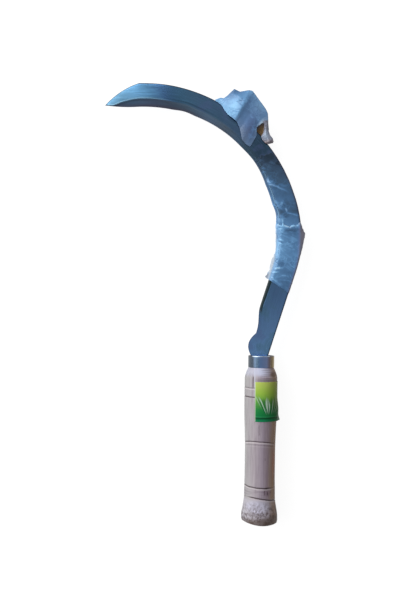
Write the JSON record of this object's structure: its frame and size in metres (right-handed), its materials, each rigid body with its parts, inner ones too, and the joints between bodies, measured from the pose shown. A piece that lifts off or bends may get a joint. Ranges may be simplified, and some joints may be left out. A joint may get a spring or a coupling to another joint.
{
  "type": "sickle",
  "caption": "Hand sickle with a wide curved blade, clipped nose and heel lobe on a cane grip with a steel ferrule, blade partly wound in thin film.",
  "frame": {"origin": "centre of the handle's flat butt face", "axes": "+Y up the handle's axis towards the blade, +X towards the blade's outer bend, +Z square to the blade's flat, out of its ground face"},
  "size_m": [0.2021, 0.4363, 0.0364],
  "materials": {
    "blade_steel": "ground and oiled, blue grey",
    "ferrule_steel": "drawn steel, bright rim",
    "bamboo": "dry cane, bare, with sheath scars",
    "label_paper": "satin paper, yellow green to deep green",
    "film": "thin crumpled plastic film"
  },
  "bodies": {
    "root": {"blade": "blade_steel", "ferrule": "ferrule_steel", "handle": "bamboo", "label": "label_paper", "film_lower": "film", "film_upper": "film", "film_end": "film"}
  },
  "joints": []
}
